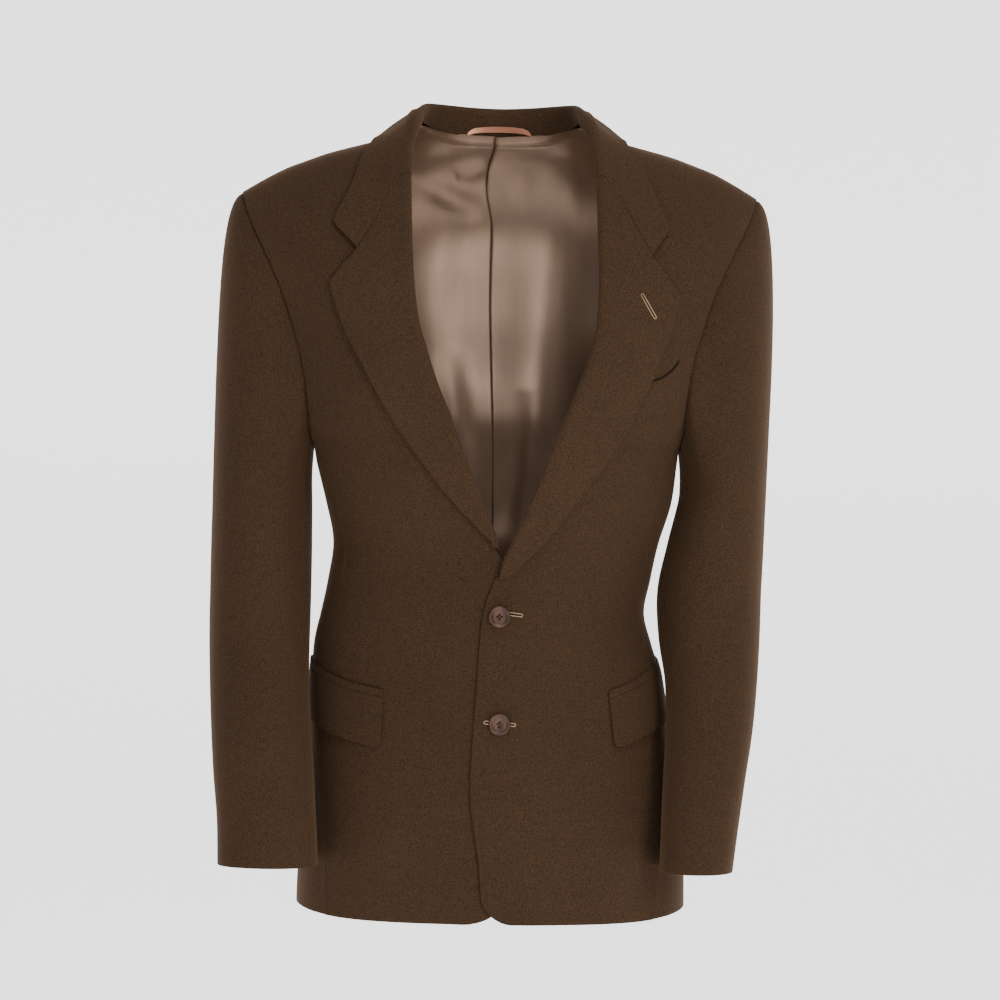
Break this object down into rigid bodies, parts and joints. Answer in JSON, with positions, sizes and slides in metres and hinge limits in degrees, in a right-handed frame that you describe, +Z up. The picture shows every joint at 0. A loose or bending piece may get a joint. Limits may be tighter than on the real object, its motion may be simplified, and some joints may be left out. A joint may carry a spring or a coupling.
{
  "type": "tailored wool coat",
  "caption": "Hip-length tailored wool coat with notch lapels, flap pockets, breast welt and a buttoned front.",
  "frame": {"origin": "on the centre plane between the shoulders, at the height where the shoulder line meets the collar, where the wearer holds the coat up", "axes": "+Z up, -Y is the front, +X is the wearer's left side"},
  "size_m": [0.5307, 0.2733, 0.7689],
  "materials": {
    "wool": "matte heathered wool twill",
    "wool_fold": "matte heathered wool twill",
    "satin": "shiny satin lining",
    "loop_tape": "satin tape",
    "horn": "polished horn effect"
  },
  "bodies": {
    "root": {"back_left": "wool", "back_right": "wool", "breast_welt": "wool", "button_lower": "horn", "button_upper": "horn", "collar": "wool_fold", "front_left": "wool", "front_right": "wool", "hanger_loop": "loop_tape", "lapel_left": "wool_fold", "lapel_right": "wool_fold", "lining_back_left": "satin", "lining_back_right": "satin", "pocket_flap_left": "wool", "pocket_flap_right": "wool", "pocket_welt_left": "wool", "pocket_welt_right": "wool", "side_left": "wool", "side_right": "wool", "top_sleeve_left": "wool", "top_sleeve_right": "wool", "under_sleeve_left": "wool", "under_sleeve_right": "wool"}
  },
  "joints": []
}
